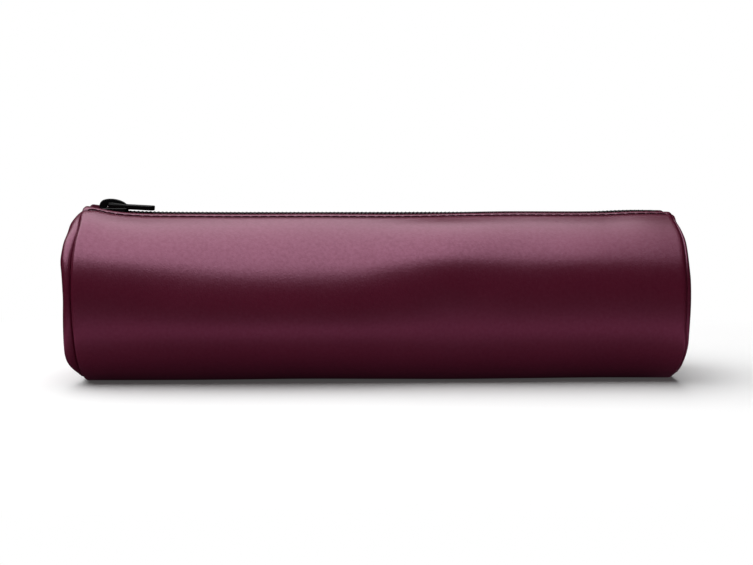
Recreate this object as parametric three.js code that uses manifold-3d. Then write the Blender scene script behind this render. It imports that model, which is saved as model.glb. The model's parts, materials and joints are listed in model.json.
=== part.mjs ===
// Round leather pencil case: a burgundy leather tube with round ends sewn in by turned seams, a fabric
// lining, and a closed coil zip along the top with its slider at the left end.
// Millimetres, +Z up, X along the case. The origin is on the table, under the middle of the case.
import * as THREE from "three";
import { mergeVertices } from "three/addons/utils/BufferGeometryUtils.js";
import Module from "manifold-3d";

const wasm = await Module();
wasm.setup();

// Driving dimensions of the case
const CASE_LENGTH = 210; // over the two crowned end panels
const CASE_DIAMETER = 60;
const REST_SAG = 1.05; // the soft underside flattens by this much where it rests
const LEATHER = 1.3;
const LINING = 0.5;
const SEAM_ALLOWANCE = 4; // leather turned into the case at each end seam
const RIM_RADIUS = 1.4; // bend of an end panel's rim, at the middle of the leather
const RIM_LEAN = Math.PI / 3; // how far the rim leans out before it bends over to the end face
const END_CROWN = 0.5; // bulge of an end face
const LINING_STEP = 3; // length over which the lining dips under the seam allowances
const LINING_ROUND = 1; // corner of an end lining
const LINING_SETBACK = 1.3; // lining edge, back from the leather edge along the zip
const CLEARANCE = 0.3; // between neighbouring pieces
const ROUND_STEPS = 40; // facets round the case
const ARC_STEPS = 2; // half the facets of a bend in the leather

// Driving dimensions of the zip
const TAPE = 0.5;
const TAPE_WIDTH = 13; // of each tape, from its edge under the coil
const TAPE_GAP = 2.2; // between the two tapes, under the coils
const CHAIN_WIDTH = 4.6; // of the two coils when they are closed
const COIL_HEIGHT = 1.5;
const COIL_PITCH = 1.4;
const COIL_HEEL = 0.8; // width of the turns' heels along the tape
const TOOTH_ROOT = 0.5;
const TOOTH_HEAD = 0.6;
const ENGAGEMENT = 0.9; // how far the heads of one coil reach past those of the other
const CHAIN_SETBACK = 2.9; // of the coils' ends, in from the end seams
const STOP_LENGTH = 1.8;
const STOP_WIDTH = 2.6;
const STOP_EDGE = 0.25; // chamfer of the moulded stops

// Driving dimensions of the slider and its pull tab
const SLIDER_LENGTH = 10.5;
const PLATE = 0.7; // thickness of the slider's upper and lower plates
const FLANGE = 0.65; // thickness of the rails that keep the coils in the slider
const LIP_CLEARANCE = 0.5; // slider to the leather edges
const WEDGE_WIDTH = 1.6; // post that parts the coils
const WEDGE_TIP = 0.5;
const WEDGE_LENGTH = 2.8;
const SHOULDER_ROUND = 1.6;
const TAIL_ROUND = 0.8;
const CAST_EDGE = 0.25; // rounded edges of the castings
const BRIDGE_INSET = 0.3; // bridge feet, in from the slider's ends
const BRIDGE_WIDTH = 1.6;
const BRIDGE_BAR = 1.4;
const BRIDGE_HEEL = 2.6; // the bridge is stouter at the shoulders
const BRIDGE_HEADROOM = 0.3; // above the tab's bar
const TAB_REACH = 15.3; // from the tab's pivot to its tip
const TAB_OFFSET = 1.15; // of the pivot, from the bridge's heel
const TAB_LIFT = 0.45; // of the tab's bar, above the upper plate
const TAB_DROOP = Math.PI / 60; // the tab hangs down towards the closed chain
const TAB_WIDTH = 5.4;
const TAB_NECK = 4.6; // width of the tab's tip
const TAB_THICKNESS = 1.1; // of the bar and the arms
const TAB_GRIP = 0.55; // the grip is this much thicker, underneath
const GRIP_STEP = 0.6; // from the tab's eye to its grip
const TAB_PLAY = 0.35; // between the tab's eye and the bridge

// Layers of the wall, as radii at the middle of each sheet
const radius = CASE_DIAMETER / 2;
const axisHeight = radius - REST_SAG;
const ply = LEATHER + CLEARANCE;
const wallRadius = radius - LEATHER / 2;
const turnInRadius = wallRadius - ply;
const endFlangeRadius = turnInRadius - ply;
const tapeRadius = radius - LEATHER - CLEARANCE; // upper face of the tape's sewn margin
const liningRadius = tapeRadius - TAPE - CLEARANCE - LINING / 2;
const liningEndRadius = endFlangeRadius - (LEATHER + LINING) / 2 - CLEARANCE;
const endLiningRadius = liningEndRadius - LINING - CLEARANCE;

// Stations along the case, on its right half
const rollRadius = ply / 2; // the body leather folds back on itself
const rollCentreRadius = wallRadius - rollRadius;
const hugRadius = rollRadius + ply; // the end panel's rim follows the roll
const hugEnd = -Math.PI / 2 + RIM_LEAN;
const rimForward = hugRadius * Math.cos(hugEnd) + RIM_RADIUS * (Math.cos(hugEnd) + 1);
const faceX = CASE_LENGTH / 2 - END_CROWN - LEATHER / 2;
const rollX = faceX - rimForward;
const allowanceX = rollX - SEAM_ALLOWANCE;
const endLiningX = faceX - (LEATHER + LINING) / 2 - CLEARANCE;

// Places of the zip's pieces, with heights measured from the case's axis
const coilSpread = ENGAGEMENT / 2 + WEDGE_WIDTH / 2 + CLEARANCE;
const chainEnd = rollX - CHAIN_SETBACK;
const stopX = chainEnd + CLEARANCE;
const sliderX = -(chainEnd - SLIDER_LENGTH / 2);
const spreadStart = SLIDER_LENGTH / 7; // in the slider's own frame
const spreadLength = SLIDER_LENGTH / 2;
const shoulderHalf = CHAIN_WIDTH / 2 + coilSpread + CLEARANCE + FLANGE;
const lipY = shoulderHalf + LIP_CLEARANCE;
const tapeTop = Math.sqrt(tapeRadius ** 2 - lipY ** 2);
const coilFloor = tapeTop + CLEARANCE;
const coilTop = coilFloor + COIL_HEIGHT;
const channelFloor = tapeTop - TAPE - CLEARANCE;
const channelRoof = coilTop + CLEARANCE;
const plateTop = channelRoof + PLATE;
const pivotHeight = plateTop + TAB_LIFT + TAB_THICKNESS / 2;
const bridgeLength = SLIDER_LENGTH - 2 * BRIDGE_INSET;
const bridgeHeight = TAB_LIFT + TAB_THICKNESS + BRIDGE_HEADROOM + BRIDGE_BAR;
const pivotX = BRIDGE_HEEL + TAB_OFFSET - bridgeLength / 2; // in the slider's own frame

// Finishes
const leather = new THREE.MeshStandardMaterial({ color: 0x561429, roughness: 0.42, metalness: 0 });
const lining = new THREE.MeshStandardMaterial({ color: 0x2a2023, roughness: 0.9, metalness: 0 });
const tapeCloth = new THREE.MeshStandardMaterial({ color: 0x1a1213, roughness: 0.85, metalness: 0 });
const coilNylon = new THREE.MeshStandardMaterial({ color: 0x141012, roughness: 0.45, metalness: 0 });
const blackMetal = new THREE.MeshStandardMaterial({ color: 0x0d0d0e, roughness: 0.32, metalness: 0.6 });

const caseGroup = new THREE.Group();
caseGroup.position.z = axisHeight;

function addPiece(parent, name, geometry, material) {
  const mesh = new THREE.Mesh(geometry, material);
  mesh.name = name;
  parent.add(mesh);
  return mesh;
}

// A closed geometry as a solid for cutting and joining
function solidOf(geometry) {
  const bare = new THREE.BufferGeometry();
  bare.setAttribute("position", geometry.getAttribute("position").clone());
  if (geometry.index) bare.setIndex(geometry.index.clone());
  const merged = mergeVertices(bare, 1e-4);
  return new wasm.Manifold(
    new wasm.Mesh({
      numProp: 3,
      vertProperties: new Float32Array(merged.getAttribute("position").array),
      triVerts: new Uint32Array(merged.index.array),
    }),
  );
}

function geometryOf(solid) {
  const mesh = solid.getMesh();
  const geometry = new THREE.BufferGeometry();
  geometry.setAttribute("position", new THREE.BufferAttribute(mesh.vertProperties, 3));
  geometry.setIndex(new THREE.BufferAttribute(mesh.triVerts, 1));
  geometry.computeVertexNormals();
  return geometry;
}

function joined(...geometries) {
  return geometries.map(solidOf).reduce((whole, solid) => whole.add(solid));
}

// A flat outline raised from one height to another, with its edges rounded by edge
function raise(shape, low, high, edge = 0) {
  const geometry = new THREE.ExtrudeGeometry(shape, {
    depth: high - low - 2 * edge,
    bevelEnabled: edge > 0,
    bevelThickness: edge,
    bevelSize: edge,
    bevelOffset: -edge,
    bevelSegments: 1,
    curveSegments: 4,
  });
  return geometry.translate(0, 0, low + edge);
}

// An outline in (y, z) drawn out along X, centred on the middle of the case
function drawAlongX(shape, halfLength) {
  const geometry = new THREE.ExtrudeGeometry(shape, {
    depth: 2 * halfLength,
    bevelEnabled: false,
    curveSegments: 5,
  });
  const swapAxes = new THREE.Matrix4().makeBasis(
    new THREE.Vector3(0, 1, 0),
    new THREE.Vector3(0, 0, 1),
    new THREE.Vector3(1, 0, 0),
  );
  return geometry.translate(0, 0, -halfLength).applyMatrix4(swapAxes);
}

// Offsets of a sheet's two faces from its centreline, mitred at each corner
function sheetFaces(centreline, thickness) {
  const last = centreline.length - 1;
  const across = (a, b) => new THREE.Vector2(a.y - b.y, b.x - a.x).normalize();
  const face = (side) =>
    centreline.map((point, i) => {
      const before = across(centreline[Math.max(i - 1, 0)], centreline[Math.max(i, 1)]);
      const after = across(centreline[Math.min(i, last - 1)], centreline[Math.min(i + 1, last)]);
      const normal = before.clone().add(after).normalize();
      const reach = ((side * thickness) / 2) / normal.dot(before);
      const moved = point.clone().addScaledVector(normal, reach);
      if (point.y === 0) moved.y = 0; // a sheet that closes on the axis stays on it
      return moved;
    });
  return { outer: face(1), inner: face(-1) };
}

// A sheet revolved about the case's axis. The centreline holds (x, radius) points from left to right.
function revolveSheet(centreline, thickness) {
  const { outer, inner } = sheetFaces(centreline, thickness);
  const profile = [...inner.reverse(), ...outer];
  const closesOnAxis = centreline[centreline.length - 1].y === 0;
  if (!closesOnAxis) profile.push(profile[0].clone());
  const turned = profile.map((point) => new THREE.Vector2(point.y, point.x));
  return settle(new THREE.LatheGeometry(turned, ROUND_STEPS).rotateZ(-Math.PI / 2));
}

// The soft case flattens where it rests: points near the bottom move in, all layers alike
function settle(geometry) {
  const position = geometry.getAttribute("position");
  for (let i = 0; i < position.count; i++) {
    const y = position.getY(i);
    const z = position.getZ(i);
    const down = -z / Math.hypot(y, z);
    const share = down > 0 ? Math.min(1, axisHeight / (radius * down)) : 1;
    position.setXYZ(i, position.getX(i), y * share, z * share);
  }
  return geometry;
}

// Cuts the zip's gap along the top of a revolved sheet
function openAlongTop(geometry, halfGap) {
  const gap = new THREE.BoxGeometry(2 * CASE_LENGTH, 2 * halfGap, CASE_DIAMETER);
  gap.translate(0, 0, CASE_DIAMETER / 2);
  return geometryOf(solidOf(geometry).subtract(solidOf(gap)));
}

// Body panel: one leather sheet round the case, turned in at both end seams
function bodyPanel() {
  const line = new THREE.Path();
  line.moveTo(-allowanceX, turnInRadius);
  line.lineTo(-rollX, turnInRadius);
  line.absarc(-rollX, rollCentreRadius, rollRadius, -Math.PI / 2, -1.5 * Math.PI, true);
  line.lineTo(rollX, wallRadius);
  line.absarc(rollX, rollCentreRadius, rollRadius, Math.PI / 2, -Math.PI / 2, true);
  line.lineTo(allowanceX, turnInRadius);
  return openAlongTop(revolveSheet(line.getPoints(ARC_STEPS), LEATHER), lipY);
}

// End panel: a leather disc whose edge turns into the case and whose rim swells out past the seam.
// The turned-in edge is notched at the top, where the slider comes to rest.
function endPanel() {
  const rimX = rollX + (hugRadius + RIM_RADIUS) * Math.cos(hugEnd);
  const rimCentreRadius = rollCentreRadius + (hugRadius + RIM_RADIUS) * Math.sin(hugEnd);
  const line = new THREE.Path();
  line.moveTo(allowanceX, endFlangeRadius);
  line.lineTo(rollX, endFlangeRadius);
  line.absarc(rollX, rollCentreRadius, hugRadius, -Math.PI / 2, hugEnd, false);
  line.absarc(rimX, rimCentreRadius, RIM_RADIUS, hugEnd + Math.PI, 0, true);
  line.bezierCurveTo(
    faceX, rimCentreRadius * 0.6,
    faceX + END_CROWN, rimCentreRadius * 0.4,
    faceX + END_CROWN, 0,
  );
  const notch = new THREE.BoxGeometry(2 * SEAM_ALLOWANCE, 2 * lipY, CASE_DIAMETER);
  notch.translate(rollX + CLEARANCE - SEAM_ALLOWANCE, 0, CASE_DIAMETER / 2);
  const panel = revolveSheet(line.getPoints(ARC_STEPS), LEATHER);
  return geometryOf(solidOf(panel).subtract(solidOf(notch)));
}

// Body lining: a fabric tube inside the leather that dips under the seam allowances
function bodyLining() {
  const dipX = allowanceX - LINING;
  const points = [
    [-rollX, liningEndRadius],
    [-dipX, liningEndRadius],
    [-dipX + LINING_STEP, liningRadius],
    [dipX - LINING_STEP, liningRadius],
    [dipX, liningEndRadius],
    [rollX, liningEndRadius],
  ].map(([x, r]) => new THREE.Vector2(x, r));
  return openAlongTop(revolveSheet(points, LINING), lipY + LINING_SETBACK);
}

// End lining: a fabric disc behind the end panel, with its edge turned into the case
function endLining() {
  const line = new THREE.Path();
  line.moveTo(allowanceX, endLiningRadius);
  line.lineTo(endLiningX - LINING_ROUND, endLiningRadius);
  line.absarc(endLiningX - LINING_ROUND, endLiningRadius - LINING_ROUND, LINING_ROUND, Math.PI / 2, 0, true);
  line.lineTo(endLiningX, 0);
  return revolveSheet(line.getPoints(ARC_STEPS), LINING);
}

// Zip tape: a flat web beside the coil, and a margin that follows the wall under the leather
function zipTape() {
  const under = tapeRadius - TAPE;
  const underZ = tapeTop - TAPE;
  const start = Math.atan2(tapeTop, lipY);
  const underStart = Math.atan2(underZ, Math.sqrt(under ** 2 - underZ ** 2));
  const end = start - (TAPE_WIDTH - lipY + TAPE_GAP / 2) / tapeRadius;
  const section = new THREE.Shape();
  section.moveTo(TAPE_GAP / 2, tapeTop);
  section.lineTo(lipY, tapeTop);
  section.absarc(0, 0, tapeRadius, start, end, true);
  section.lineTo(under * Math.cos(end), under * Math.sin(end));
  section.absarc(0, 0, under, end, underStart, false);
  section.lineTo(TAPE_GAP / 2, underZ);
  const web = new THREE.Shape();
  web.moveTo(TAPE_GAP / 2, underZ);
  web.lineTo(lipY - CLEARANCE, underZ);
  web.lineTo(lipY - CLEARANCE, tapeTop);
  web.lineTo(TAPE_GAP / 2, tapeTop);
  const sewn = drawAlongX(section, allowanceX - CLEARANCE);
  return geometryOf(joined(sewn, drawAlongX(web, stopX + STOP_LENGTH)));
}

// How far each coil stands back from the closed chain, at x in the slider's frame
function spread(x) {
  return coilSpread * THREE.MathUtils.smoothstep(spreadStart - x, 0, spreadLength);
}

// Coil: a rack of turns joined at their heels, whose flared heads reach past the middle of the chain.
// The other coil is the same rack, half a pitch along.
function zipCoil(shift) {
  const reach = chainEnd;
  const back = (x) => CHAIN_WIDTH / 2 + spread(x - sliderX);
  const root = (x) => back(x) - COIL_HEEL;
  const tip = (x) => back(x) - CHAIN_WIDTH / 2 - ENGAGEMENT / 2;
  const turns = Math.floor((2 * reach - TOOTH_HEAD) / COIL_PITCH);
  const rack = new THREE.Shape();
  rack.moveTo(-reach, back(-reach));
  rack.lineTo(-reach, root(-reach));
  for (let i = 0; i < turns; i++) {
    const x = -reach + (i + 0.5 + shift) * COIL_PITCH;
    rack.lineTo(x - TOOTH_ROOT / 2, root(x));
    rack.lineTo(x - TOOTH_HEAD / 2, tip(x));
    rack.lineTo(x + TOOTH_HEAD / 2, tip(x));
    rack.lineTo(x + TOOTH_ROOT / 2, root(x));
  }
  rack.lineTo(reach, root(reach));
  rack.lineTo(reach, back(reach));
  for (let x = sliderX + spreadStart; x > -reach; x -= COIL_PITCH) rack.lineTo(x, back(x));
  return raise(rack, coilFloor, coilTop);
}

// Moulded stop on a tape, as a chamfered block between two values of y
function zipStop(x, lowY, highY) {
  const block = new THREE.Shape();
  block.moveTo(x, lowY);
  block.lineTo(x + STOP_LENGTH, lowY);
  block.lineTo(x + STOP_LENGTH, highY);
  block.lineTo(x, highY);
  return raise(block, coilFloor, coilTop, STOP_EDGE);
}

// Half the inside width of the slider's channel
function channelHalf(x) {
  return CHAIN_WIDTH / 2 + spread(x) + CLEARANCE;
}

// Outline of the slider's plates from above: wide shoulders to the left, a narrow tail to the right
function sliderPlan() {
  const half = (x) => channelHalf(x) + FLANGE;
  const front = -SLIDER_LENGTH / 2;
  const back = SLIDER_LENGTH / 2;
  const from = back - TAIL_ROUND;
  const to = front + SHOULDER_ROUND;
  const steps = 6;
  const stations = Array.from({ length: steps + 1 }, (_, i) => from + ((to - from) * i) / steps);
  const plan = new THREE.Shape();
  plan.moveTo(back, TAIL_ROUND - half(back));
  plan.quadraticCurveTo(back, -half(back), from, -half(from));
  stations.slice(1).forEach((x) => plan.lineTo(x, -half(x)));
  plan.quadraticCurveTo(front, -half(front), front, SHOULDER_ROUND - half(front));
  plan.lineTo(front, half(front) - SHOULDER_ROUND);
  plan.quadraticCurveTo(front, half(front), to, half(to));
  stations.reverse().slice(1).forEach((x) => plan.lineTo(x, half(x)));
  plan.quadraticCurveTo(back, half(back), back, half(back) - TAIL_ROUND);
  return plan;
}

// The way that the coils take through the slider, open at both ends
function channelPlan() {
  const end = SLIDER_LENGTH / 2 + CLEARANCE;
  const steps = 8;
  const stations = Array.from({ length: steps + 1 }, (_, i) => -end + (2 * end * i) / steps);
  const plan = new THREE.Shape();
  stations.forEach((x, i) => (i ? plan.lineTo(x, -channelHalf(x)) : plan.moveTo(x, -channelHalf(x))));
  stations.reverse().forEach((x) => plan.lineTo(x, channelHalf(x)));
  return plan;
}

// Post between the plates that wedges the coils apart
function wedgePlan() {
  const front = -SLIDER_LENGTH / 2 + CAST_EDGE;
  const plan = new THREE.Shape();
  plan.moveTo(front, -WEDGE_WIDTH / 2);
  plan.lineTo(front + WEDGE_LENGTH / 2, -WEDGE_WIDTH / 2);
  plan.lineTo(front + WEDGE_LENGTH, -WEDGE_TIP / 2);
  plan.lineTo(front + WEDGE_LENGTH, WEDGE_TIP / 2);
  plan.lineTo(front + WEDGE_LENGTH / 2, WEDGE_WIDTH / 2);
  plan.lineTo(front, WEDGE_WIDTH / 2);
  return plan;
}

// Bridge over the upper plate, which carries the tab. It is highest towards the shoulders.
function bridge() {
  const arch = (curve, left, right, height) => {
    const at = (share) => left + share * (right - left);
    curve.moveTo(right, 0);
    curve.bezierCurveTo(right, height * 0.55, at(0.7), height, at(0.375), height);
    curve.bezierCurveTo(at(0.125), height, left, height * 0.75, left, 0);
  };
  const foot = -0.9 * PLATE; // sunk into the plate
  const side = new THREE.Shape();
  const half = bridgeLength / 2;
  arch(side, -half, half, bridgeHeight);
  side.lineTo(-half, foot);
  side.lineTo(half, foot);
  const eye = new THREE.Path();
  arch(eye, BRIDGE_HEEL - half, half - BRIDGE_BAR, bridgeHeight - BRIDGE_BAR);
  side.holes.push(eye);
  return raise(side, -BRIDGE_WIDTH / 2, BRIDGE_WIDTH / 2, CAST_EDGE)
    .rotateX(Math.PI / 2)
    .translate(0, 0, plateTop);
}

function sliderBody() {
  const plan = sliderPlan();
  const plates = joined(
    raise(plan, channelRoof, plateTop, CAST_EDGE),
    raise(plan, channelFloor - PLATE, channelFloor, CAST_EDGE),
    raise(wedgePlan(), channelFloor - PLATE / 2, channelRoof + PLATE / 2),
    bridge(),
  );
  const rails = solidOf(raise(plan, coilFloor, channelRoof + PLATE / 2, CAST_EDGE)).subtract(
    solidOf(raise(channelPlan(), coilFloor - 1, channelRoof)),
  );
  return geometryOf(plates.add(rails));
}

// Pull tab, in its own frame with the pivot at the origin: a round bar through the bridge, two arms
// past it and a stouter grip
function pullTab() {
  const eyeHalf = BRIDGE_WIDTH / 2 + TAB_PLAY;
  const eyeEnd = bridgeLength / 2 - pivotX + TAB_PLAY;
  const half = TAB_WIDTH / 2;
  const tipHalf = TAB_NECK / 2;
  const roundTip = (plan) => {
    plan.lineTo(TAB_REACH - tipHalf / 2, -tipHalf);
    plan.quadraticCurveTo(TAB_REACH, -tipHalf, TAB_REACH, -tipHalf / 2);
    plan.lineTo(TAB_REACH, tipHalf / 2);
    plan.quadraticCurveTo(TAB_REACH, tipHalf, TAB_REACH - tipHalf / 2, tipHalf);
  };
  const plan = new THREE.Shape();
  plan.moveTo(0, eyeHalf);
  plan.lineTo(eyeEnd, eyeHalf);
  plan.lineTo(eyeEnd, -eyeHalf);
  plan.lineTo(0, -eyeHalf);
  plan.lineTo(0, -half);
  plan.lineTo(eyeEnd, -half);
  roundTip(plan);
  plan.lineTo(eyeEnd, half);
  plan.lineTo(0, half);
  const grip = new THREE.Shape();
  grip.moveTo(eyeEnd + GRIP_STEP, -tipHalf);
  roundTip(grip);
  grip.lineTo(eyeEnd + GRIP_STEP, tipHalf);
  const face = TAB_THICKNESS / 2;
  const bar = new THREE.CylinderGeometry(face, face, TAB_WIDTH, 12);
  return geometryOf(
    joined(raise(plan, -face, face, CAST_EDGE), raise(grip, -face - TAB_GRIP, 0, CAST_EDGE), bar),
  );
}

// Sewn leather and lining
addPiece(caseGroup, "body_panel", bodyPanel(), leather);
addPiece(caseGroup, "body_lining", bodyLining(), lining);
for (const [side, turn] of [["right", 0], ["left", Math.PI]]) {
  const end = new THREE.Group();
  end.rotation.z = turn;
  addPiece(end, side + "_end_panel", endPanel(), leather);
  addPiece(end, side + "_end_lining", endLining(), lining);
  caseGroup.add(end);
}

// Zip, made as its rear half and mirrored to the front
const topStopX = -stopX - STOP_LENGTH;
const topStopY = coilSpread - ENGAGEMENT / 2;
for (const [side, mirror, shift] of [["front", -1, 0], ["rear", 1, 0.5]]) {
  const half = new THREE.Group();
  half.scale.y = mirror;
  addPiece(half, side + "_zip_tape", zipTape(), tapeCloth);
  addPiece(half, side + "_zip_coil", zipCoil(shift), coilNylon);
  addPiece(half, side + "_top_stop", zipStop(topStopX, topStopY, topStopY + STOP_WIDTH), blackMetal);
  caseGroup.add(half);
}
addPiece(caseGroup, "bottom_stop", zipStop(stopX, -STOP_WIDTH, STOP_WIDTH), blackMetal);

// Slider and its tab
const slider = new THREE.Group();
slider.position.x = sliderX;
addPiece(slider, "slider_body", sliderBody(), blackMetal);
const tab = addPiece(slider, "pull_tab", pullTab(), blackMetal);
tab.position.set(pivotX, 0, pivotHeight);
tab.rotation.y = TAB_DROOP;
caseGroup.add(slider);

const pencilCase = new THREE.Group();
pencilCase.add(caseGroup);
export default pencilCase;
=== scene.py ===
# %% [markdown]
# # A round leather pencil case
# The case is a soft burgundy tube with a leather disc sewn into each end and a black coil zip along
# the top. The CAD model holds every size, every place and every joint. This lesson keeps that model
# as a fixed frame, and makes the visible pieces round it: sewn leather, woven tape, a wound coil and
# a cast slider.

# %% Load the frame
import json
import math

import bmesh
import bpy
from mathutils import Matrix, Vector, noise
from mathutils.geometry import interpolate_bezier


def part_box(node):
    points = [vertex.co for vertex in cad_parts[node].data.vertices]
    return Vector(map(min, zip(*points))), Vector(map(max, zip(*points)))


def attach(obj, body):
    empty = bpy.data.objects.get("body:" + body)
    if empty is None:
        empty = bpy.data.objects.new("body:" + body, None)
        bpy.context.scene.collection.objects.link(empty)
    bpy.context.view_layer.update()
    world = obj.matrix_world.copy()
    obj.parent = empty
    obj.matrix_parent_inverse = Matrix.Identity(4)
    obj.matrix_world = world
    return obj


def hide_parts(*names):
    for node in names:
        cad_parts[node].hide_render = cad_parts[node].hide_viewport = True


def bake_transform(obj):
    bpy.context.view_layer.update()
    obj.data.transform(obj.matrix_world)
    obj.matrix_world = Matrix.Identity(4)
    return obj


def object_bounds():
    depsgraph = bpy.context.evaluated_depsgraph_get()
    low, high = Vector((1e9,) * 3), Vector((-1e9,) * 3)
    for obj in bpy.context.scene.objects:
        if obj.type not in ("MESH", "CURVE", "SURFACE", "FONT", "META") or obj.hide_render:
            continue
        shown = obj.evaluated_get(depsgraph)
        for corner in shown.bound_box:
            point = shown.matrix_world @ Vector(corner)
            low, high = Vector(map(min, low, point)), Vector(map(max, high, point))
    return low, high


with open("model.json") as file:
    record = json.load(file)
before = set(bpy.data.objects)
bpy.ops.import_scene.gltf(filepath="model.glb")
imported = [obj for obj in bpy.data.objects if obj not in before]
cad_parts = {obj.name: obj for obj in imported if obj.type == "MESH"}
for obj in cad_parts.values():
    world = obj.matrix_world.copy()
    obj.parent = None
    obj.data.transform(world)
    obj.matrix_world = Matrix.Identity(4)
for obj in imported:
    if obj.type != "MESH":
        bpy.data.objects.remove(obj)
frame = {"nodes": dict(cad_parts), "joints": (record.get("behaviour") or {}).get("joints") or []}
cad_low, cad_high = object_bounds()
print("CAD box in metres", [round(high - low, 4) for low, high in zip(cad_low, cad_high)])

# %% [markdown]
# ## Along, out and round
# A tube is easiest to describe by three numbers: how far along it a point is, how far out from its
# middle line, and at which angle round it. The angle is 0 on top and grows towards the front, so the
# front edge of the mouth has a small positive angle and the rear edge a small negative one.

# %% Sizes that several pieces share
MM = 0.001
LEATHER = 1.3 * MM
CLEARANCE = 0.3 * MM
REST_SAG = 1.05 * MM

body_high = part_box("body_panel")[1]
tape_low, tape_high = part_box("rear_zip_tape")
coil_low, coil_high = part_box("rear_zip_coil")
places = {joint["name"]: joint.get("pos_m") for joint in frame["joints"]}

RADIUS = body_high[1]
AXIS_HEIGHT = RADIUS - REST_SAG
SEAM_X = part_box("body_lining")[1][0]
TAPE_END = tape_high[0] + 2.5 * MM
LIP_Y = places["rear_chain_fold"][1]
print("radius", RADIUS, "seam at", SEAM_X, "lips at", LIP_Y)


def on_case(along, out, angle):
    """The point that is so far along, out and round the case."""
    return Vector((along, -out * math.sin(angle), AXIS_HEIGHT + out * math.cos(angle)))


def round_case(point):
    """How far out a point is, and its angle."""
    rise = point[2] - AXIS_HEIGHT
    return math.hypot(point[1], rise), math.atan2(-point[1], rise)


def ease(value, start, end):
    """0 before start, 1 after end and a smooth climb between them."""
    share = min(max((value - start) / (end - start), 0), 1)
    return share * share * (3 - 2 * share)


# %% [markdown]
# ## How the leather gives
# Nothing about a used leather tube is straight. The mouth hangs a little in the middle and flares up
# at the ends, where the end discs hold it; the wall has slow swells; and the bottom flattens on the
# table. One function, settle, holds all of this. Every soft piece goes through it, so leather,
# lining and zip stay together.

# %% Smooth lines through a few measured points
def follow(table, value):
    """The height of a smooth line through (place, height) rows, which is level beyond its ends."""
    if value <= table[0][0]:
        return table[0][1]
    if value >= table[-1][0]:
        return table[-1][1]
    i = next(i for i, row in enumerate(table) if row[0] > value)
    (x0, y0), (x1, y1) = table[i - 1], table[i]
    before, after = table[max(i - 2, 0)], table[min(i + 1, len(table) - 1)]
    slope0 = (y1 - before[1]) / (x1 - before[0])
    slope1 = (after[1] - y0) / (after[0] - x0)
    t = (value - x0) / (x1 - x0)
    bend0 = (x1 - x0) * slope0 * t * (1 - t) ** 2
    bend1 = (x1 - x0) * slope1 * t * t * (t - 1)
    return y0 + (y1 - y0) * t * t * (3 - 2 * t) + bend0 + bend1


# %% How the mouth and the wall lie, in millimetres
MOUTH = [
    (-102, 2.7), (-97, 2.0), (-93, 1.0), (-90, 0.4), (-85, -0.2), (-76, -0.65), (-40, -0.8),
    (0, -0.85), (40, -0.55), (78, -0.3), (90, 0.2), (102, 0.0),
]
CHAIN = [(-88, 0), (-70, -0.45), (0, -0.6), (50, -0.6), (64, -0.7), (76, -0.5), (85, -0.1), (90, 0)]
BELLY = [
    (-100, -1.5), (-86, -0.9), (-75, -0.3), (-50, 0.8), (-10, 1.0), (8, -0.3), (24, -1.7), (50, -1.0),
    (75, -1.3), (100, -1.0),
]
LEFT_SEAM = [(0, 0), (22, 0.3), (36, 0.9), (50, 0.3), (62, -0.1), (180, 0)]
LEFT_LEAN = [
    (0, 1.3), (13, 0.4), (29, -0.2), (42, -0.6), (52, -0.4), (59, -0.2), (68, 0.4), (77, 0.75),
    (86, 0.9), (95, 0.7), (110, 0.25), (124, -0.2), (132, -0.4), (140, -0.1), (155, 1.6), (180, 2.0),
]
RIGHT_SEAM = [
    (0, 2.8), (10, 2.7), (23, 1.8), (34, 2.1), (45, 2.5), (60, 2.4), (72, 2.2), (104, 2.5),
    (115, 3.1), (123, 3.5), (140, 3.4), (180, 3.2),
]
RIGHT_RIM = [
    (0, 0.8), (50, 0.8), (62, 1.0), (73, 1.6), (104, 1.6), (116, 1.0), (128, 0.8), (180, 0.8),
]
LEFT_MIDDLE = 0.3
RIGHT_MIDDLE = 2.6
RIGHT_MIDDLE_BULGE = 1.2
BELLY_MIDDLE = 1.35
BELLY_REACH = 1.2
SWELL = 0.5 * MM
SWELLS_PER_METRE = 20
LEFT_PULL = 85 * MM
RIGHT_PULL = 80 * MM
END_SEAM = 100.7 * MM
END_RIM = 103.5 * MM
END_FACE = 105 * MM


def mouth_lift(along):
    """How far the edges of the mouth stand above the straight CAD line."""
    return MM * follow(MOUTH, along / MM)


def chain_lift(along):
    """The zip hangs with the mouth, but is held level where the slider stops at each end."""
    return MM * follow(CHAIN, along / MM)


def swell(along, angle):
    """Slow swells of the wall, and the front's belly: slack above, full below."""
    loose = SWELL * noise.noise(on_case(along, RADIUS, angle) * SWELLS_PER_METRE)
    lower = min(max(angle - BELLY_MIDDLE, -BELLY_REACH), BELLY_REACH)
    full = math.sin(lower * math.pi / BELLY_REACH) * (1 - (lower / BELLY_REACH) ** 2)
    return loose + MM * follow(BELLY, along / MM) * full


def end_shape(along, angle, share):
    """Where the end seams and discs lie: the left disc leans in on top, the right is nearly flush."""
    turn = math.degrees(abs(angle))
    rim = ease(share, 0.25, 0.85)
    if along < 0:
        pulled = follow(LEFT_SEAM, turn) * ease(-along, LEFT_PULL, END_SEAM)
        lean = LEFT_MIDDLE + (follow(LEFT_LEAN, turn) - LEFT_MIDDLE) * rim
        return along + MM * rim * pulled + MM * lean * ease(-along, END_SEAM, END_RIM)
    pulled = RIGHT_MIDDLE + (follow(RIGHT_SEAM, turn) - RIGHT_MIDDLE) * rim
    if along < END_SEAM:
        return along + MM * pulled * ease(along, RIGHT_PULL, END_SEAM)
    bulge = RIGHT_MIDDLE_BULGE + (follow(RIGHT_RIM, turn) - RIGHT_MIDDLE_BULGE) * rim
    return END_SEAM + MM * (pulled + bulge * (along - END_SEAM) / (END_FACE - END_SEAM))


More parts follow.
